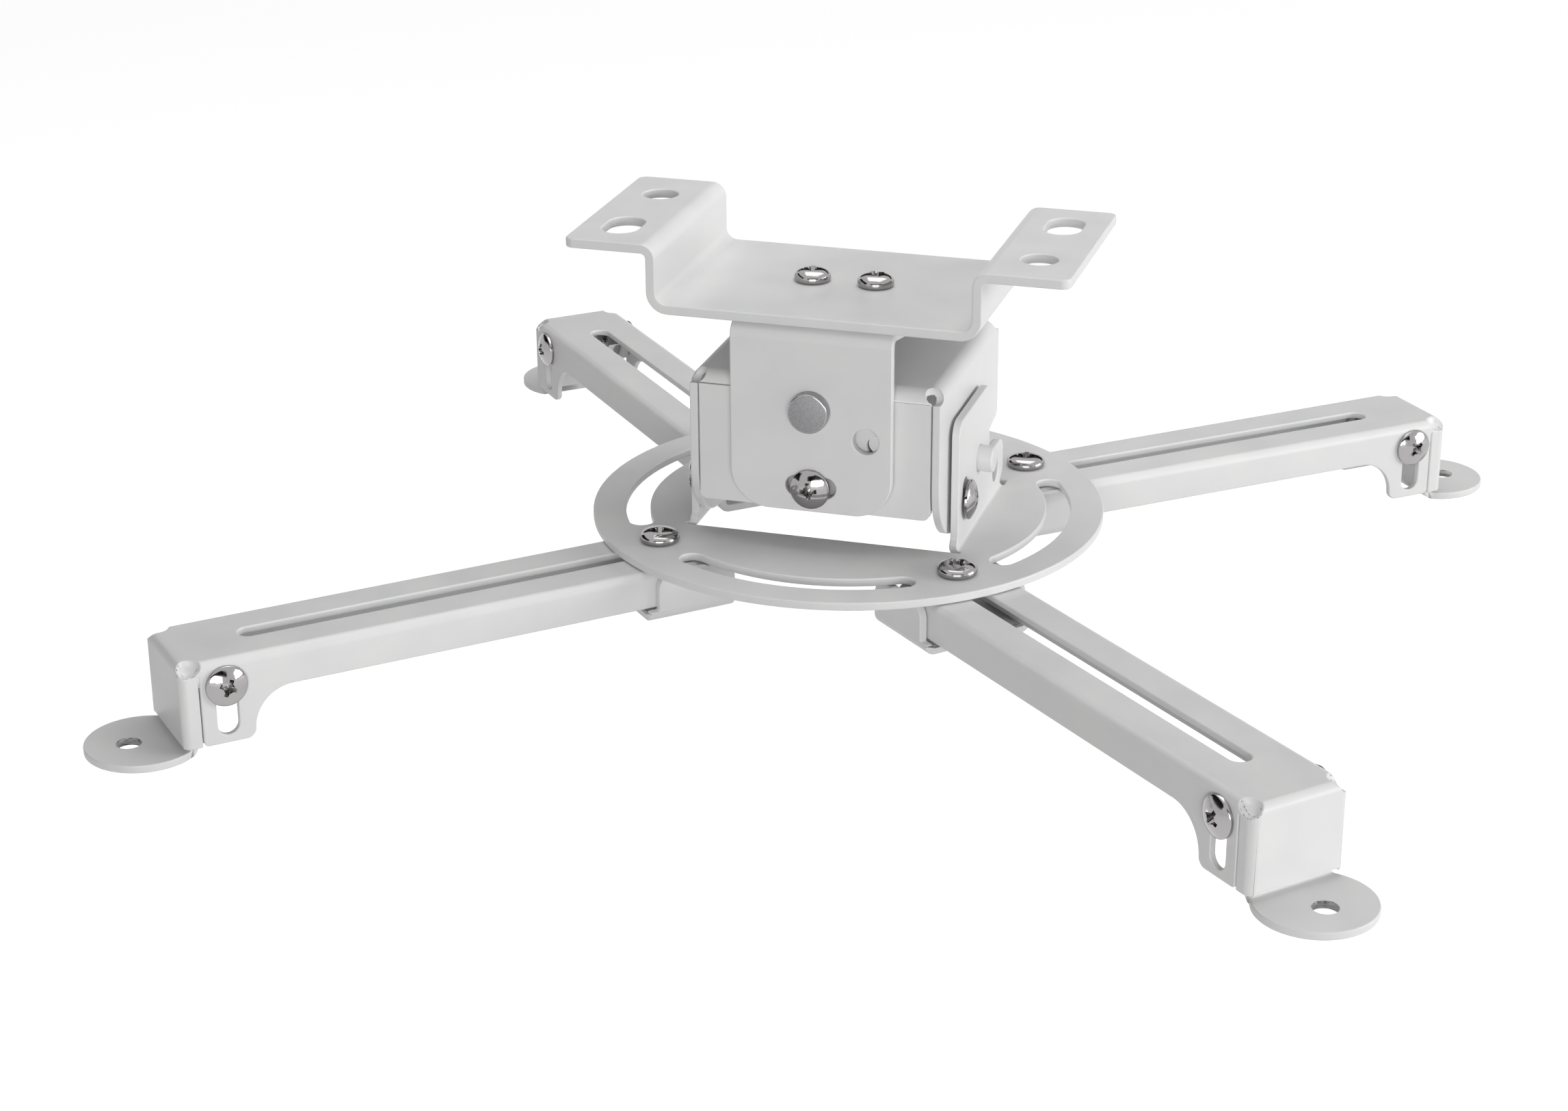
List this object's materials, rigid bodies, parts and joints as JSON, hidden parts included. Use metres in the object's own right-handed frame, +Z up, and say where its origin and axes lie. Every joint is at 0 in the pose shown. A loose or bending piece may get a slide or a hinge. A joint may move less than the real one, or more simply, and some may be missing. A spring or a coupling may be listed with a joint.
{
  "type": "projector ceiling mount",
  "caption": "Ceiling mount for a projector: a bracket with a yoke, a tilting block and a round hub whose telescoping swinging arms end in height-adjustable feet.",
  "frame": {"origin": "middle of the ceiling bracket, on the face that lies on the ceiling", "axes": "+Z up to the ceiling, +X along the bracket's length, +Y across it to the rear"},
  "size_m": [0.3592, 0.354, 0.1212],
  "materials": {
    "white_coat": "satin powder coat",
    "fasteners": "nickel plated"
  },
  "bodies": {
    "mount": {"ceiling_bracket": "white_coat", "bracket_screw_left": "fasteners", "bracket_screw_right": "fasteners", "yoke_nut_left": "fasteners", "yoke_nut_right": "fasteners", "yoke": "white_coat"},
    "block": {"tilt_block": "white_coat", "roll_pivot_front": "fasteners", "roll_pivot_rear": "fasteners", "roll_screw_front": "fasteners", "roll_screw_rear": "fasteners", "roll_nut_front": "fasteners", "roll_nut_rear": "fasteners", "pitch_pivot_left": "white_coat", "pitch_pivot_right": "white_coat", "pitch_screw_left": "fasteners", "pitch_screw_right": "fasteners", "pitch_nut_left": "fasteners", "pitch_nut_right": "fasteners"},
    "hub": {"hub_disc": "white_coat"},
    "sleeve_front_left": {"sleeve_front_left": "white_coat", "clamp_screw_front_left": "fasteners", "clamp_nut_front_left": "white_coat"},
    "arm_front_left": {"arm_front_left": "white_coat"},
    "foot_front_left": {"foot_front_left": "white_coat", "foot_screws_front_left": "fasteners", "foot_nuts_front_left": "fasteners"},
    "sleeve_front_right": {"sleeve_front_right": "white_coat", "clamp_screw_front_right": "fasteners", "clamp_nut_front_right": "white_coat"},
    "arm_front_right": {"arm_front_right": "white_coat"},
    "foot_front_right": {"foot_front_right": "white_coat", "foot_screws_front_right": "fasteners", "foot_nuts_front_right": "fasteners"},
    "sleeve_rear_right": {"sleeve_rear_right": "white_coat", "clamp_screw_rear_right": "fasteners", "clamp_nut_rear_right": "white_coat"},
    "arm_rear_right": {"arm_rear_right": "white_coat"},
    "foot_rear_right": {"foot_rear_right": "white_coat", "foot_screws_rear_right": "fasteners", "foot_nuts_rear_right": "fasteners"},
    "sleeve_rear_left": {"sleeve_rear_left": "white_coat", "clamp_screw_rear_left": "fasteners", "clamp_nut_rear_left": "white_coat"},
    "arm_rear_left": {"arm_rear_left": "white_coat"},
    "foot_rear_left": {"foot_rear_left": "white_coat", "foot_screws_rear_left": "fasteners", "foot_nuts_rear_left": "fasteners"}
  },
  "joints": [
    {"name": "roll", "type": "hinge", "parent": "mount", "child": "block", "pos_m": [0, 0.0051, -0.0455], "axis": [0, 1, 0], "range_deg": [-10, 10]},
    {"name": "pitch", "type": "hinge", "parent": "block", "child": "hub", "pos_m": [0, 0.0046, -0.0703], "axis": [1, 0, 0], "range_deg": [-11, 11]},
    {"name": "swing_front_left", "type": "hinge", "parent": "hub", "child": "sleeve_front_left", "pos_m": [-0.04547, -0.03937, -0.0896], "axis": [0, 0, 1], "range_deg": [-13.16, 14.84]},
    {"name": "reach_front_left", "type": "slide", "parent": "sleeve_front_left", "child": "arm_front_left", "axis": [0.7174, 0.6967, 0], "range_m": [-0.0048, 0.0172]},
    {"name": "drop_front_left", "type": "slide", "parent": "arm_front_left", "child": "foot_front_left", "axis": [0, 0, -1], "range_m": [0, 0.0115]},
    {"name": "swing_front_right", "type": "hinge", "parent": "hub", "child": "sleeve_front_right", "pos_m": [0.04547, -0.03937, -0.0896], "axis": [0, 0, 1], "range_deg": [-16.04, 11.96]},
    {"name": "reach_front_right", "type": "slide", "parent": "sleeve_front_right", "child": "arm_front_right", "axis": [-0.7318, 0.6815, 0], "range_m": [-0.0006, 0.0214]},
    {"name": "drop_front_right", "type": "slide", "parent": "arm_front_right", "child": "foot_front_right", "axis": [0, 0, -1], "range_m": [0, 0.0115]},
    {"name": "swing_rear_right", "type": "hinge", "parent": "hub", "child": "sleeve_rear_right", "pos_m": [0.04547, 0.05157, -0.0896], "axis": [0, 0, 1], "range_deg": [-10.17, 17.83]},
    {"name": "reach_rear_right", "type": "slide", "parent": "sleeve_rear_right", "child": "arm_rear_right", "axis": [-0.7528, -0.6583, 0], "range_m": [-0.0082, 0.0138]},
    {"name": "drop_rear_right", "type": "slide", "parent": "arm_rear_right", "child": "foot_rear_right", "axis": [0, 0, -1], "range_m": [0, 0.0115]},
    {"name": "swing_rear_left", "type": "hinge", "parent": "hub", "child": "sleeve_rear_left", "pos_m": [-0.04547, 0.05157, -0.0896], "axis": [0, 0, 1], "range_deg": [-11.33, 16.67]},
    {"name": "reach_rear_left", "type": "slide", "parent": "sleeve_rear_left", "child": "arm_rear_left", "axis": [0.6734, -0.7393, 0], "range_m": [-0.0054, 0.0166]},
    {"name": "drop_rear_left", "type": "slide", "parent": "arm_rear_left", "child": "foot_rear_left", "axis": [0, 0, -1], "range_m": [0, 0.0115]}
  ]
}
